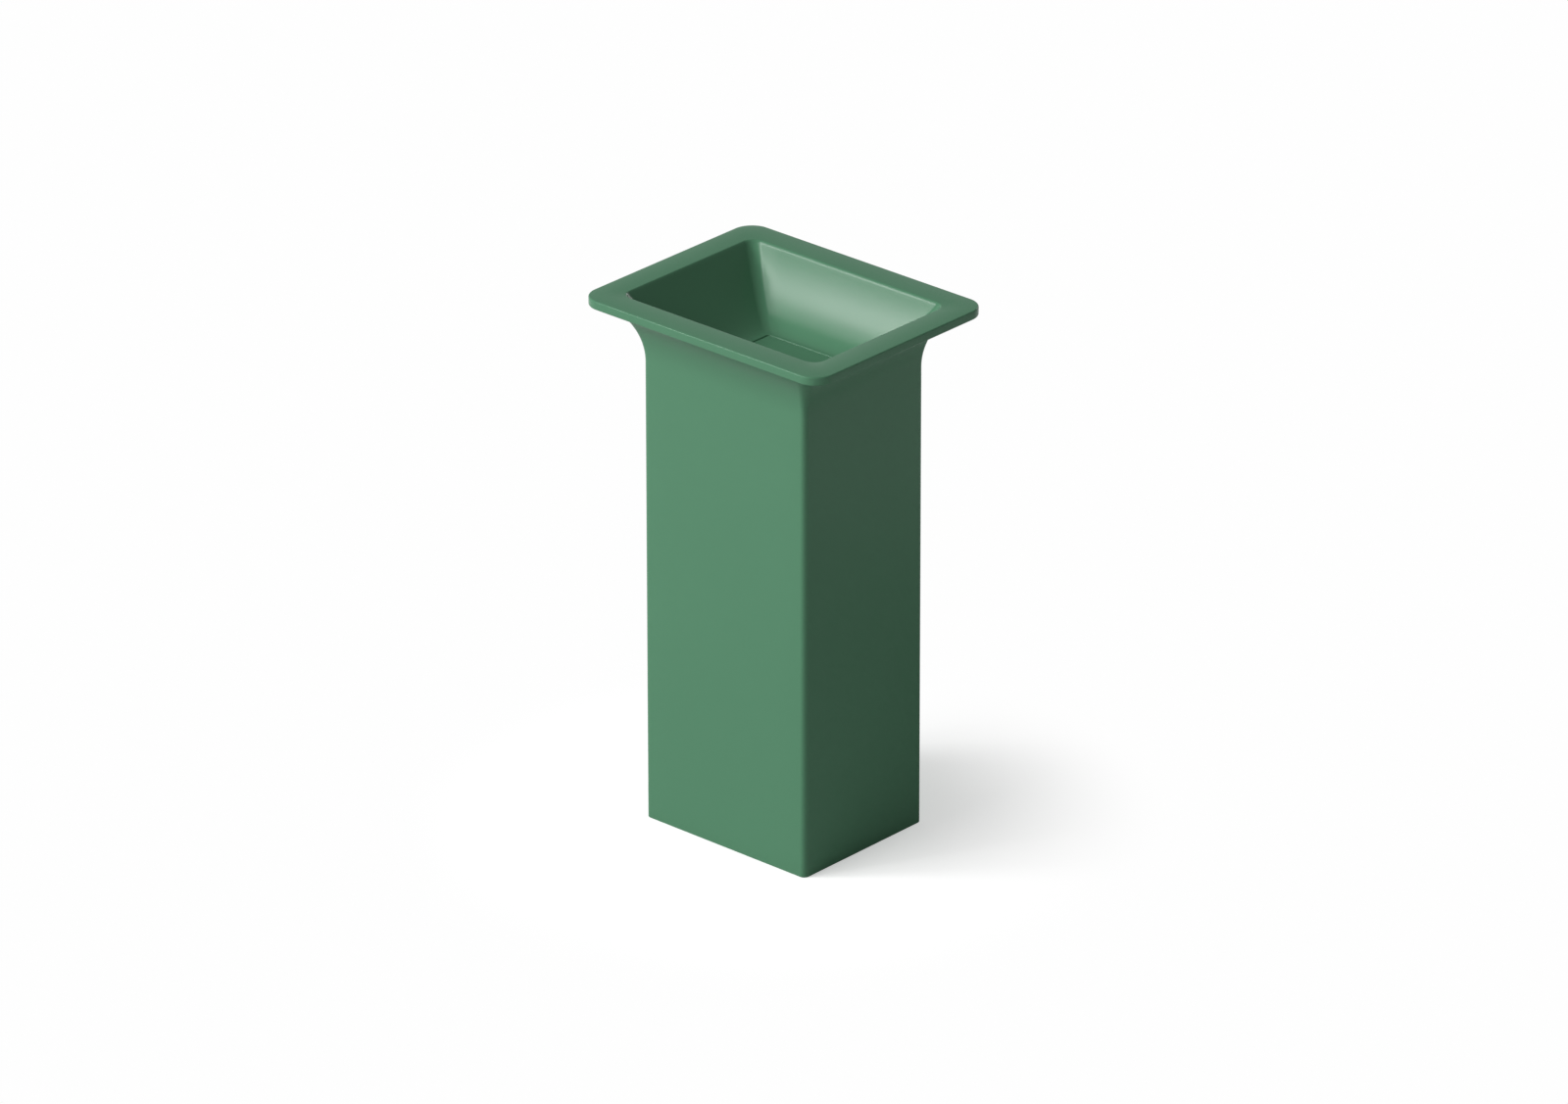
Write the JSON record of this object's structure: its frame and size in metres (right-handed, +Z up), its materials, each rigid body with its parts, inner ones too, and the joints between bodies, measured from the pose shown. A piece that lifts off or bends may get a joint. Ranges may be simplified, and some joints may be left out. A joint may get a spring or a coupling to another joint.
{
  "type": "free-standing washbasin",
  "caption": "Free-standing column washbasin: deep rectangular bowl under a thin flat rim, flared neck, hollow column, flush drain cover, bottle trap and rear service panel.",
  "frame": {"origin": "middle of the base, on the floor", "axes": "+Z up, +X along the rim's width, +Y towards the rear with the service panel"},
  "size_m": [0.5, 0.4, 0.9],
  "materials": {
    "green_casting": "satin, mineral-filled resin coloured through",
    "green_cover": "satin, mineral-filled resin coloured through",
    "rubber": "matt black moulded rubber",
    "chromed_brass": "polished chrome on brass",
    "white_plastic": "moulded polypropylene, satin",
    "grey_plastic": "extruded waste pipe, satin",
    "steel": "zinc-plated steel",
    "brass": "machined brass",
    "magnet_nickel": "nickel-plated disc magnets"
  },
  "bodies": {
    "stand": {"basin": "green_casting", "column": "green_casting", "seam_ring": "green_casting", "waste_body": "chromed_brass", "waste_flange_seal": "rubber", "waste_gasket": "rubber", "waste_washer": "white_plastic", "waste_nut": "chromed_brass", "trap_inlet_nut": "white_plastic", "trap_inlet_seal": "rubber", "trap_inlet_tube": "white_plastic", "trap_slip_nut": "white_plastic", "trap_slip_seal": "rubber", "trap_body": "white_plastic", "trap_outlet_nut": "white_plastic", "trap_outlet_seal": "rubber", "outlet_elbow": "white_plastic", "pipe_reducer": "rubber", "floor_pipe": "grey_plastic", "floor_bracket_left": "steel", "floor_bracket_right": "steel", "bracket_bolts": "steel", "bracket_washers": "steel", "bracket_inserts": "brass", "catch_plates": "steel"},
    "cover": {"drain_cover": "green_cover", "cover_feet": "rubber"},
    "panel": {"service_panel": "green_cover", "panel_magnets": "magnet_nickel"},
    "cup": {"trap_cup": "white_plastic", "trap_cup_seal": "rubber"}
  },
  "joints": [
    {"name": "cover_lift", "type": "slide", "parent": "stand", "child": "cover", "axis": [0, 0, 1], "range_m": [0, 0.16]},
    {"name": "panel_pull", "type": "slide", "parent": "stand", "child": "panel", "axis": [0, 1, 0], "range_m": [0, 0.08]},
    {"name": "cup_unscrew", "type": "slide", "parent": "stand", "child": "cup", "axis": [0, 0, -1], "range_m": [0, 0.075]}
  ]
}
